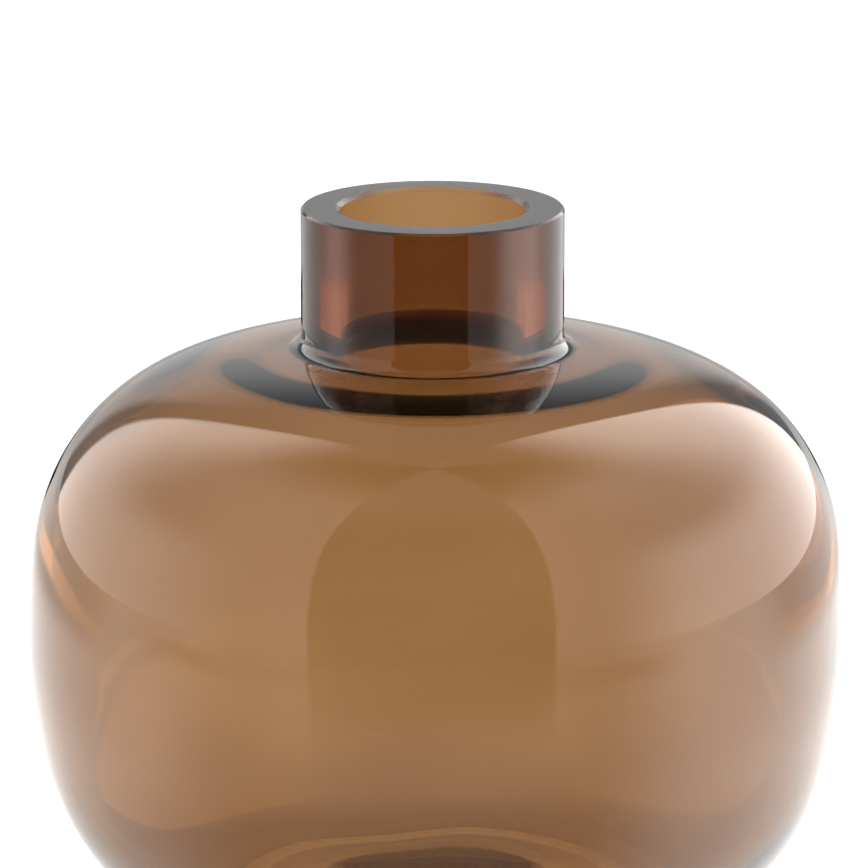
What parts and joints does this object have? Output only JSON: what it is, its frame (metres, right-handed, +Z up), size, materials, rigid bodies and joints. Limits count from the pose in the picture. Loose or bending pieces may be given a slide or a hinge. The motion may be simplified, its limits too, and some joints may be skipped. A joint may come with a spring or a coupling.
{
  "type": "glass bud vase",
  "caption": "Squat round bud vase of thick amber glass with a short heavy-walled neck, a flat ground rim and a pushed-up base.",
  "frame": {"origin": "centre of the resting ring under the base, on the surface that the vase stands on", "axes": "+Z up along the axis that the vase is turned about; X and Y are any two square directions, because the vase is round"},
  "size_m": [0.12, 0.12, 0.106],
  "materials": {
    "neck_glass": "amber-brown glass, fire polished on the walls, satin ground on the flat rim",
    "bowl_glass": "amber-brown glass, fire polished",
    "base_glass": "amber-brown glass, fire polished"
  },
  "bodies": {
    "root": {"neck": "neck_glass", "bowl": "bowl_glass", "base": "base_glass"}
  },
  "joints": []
}
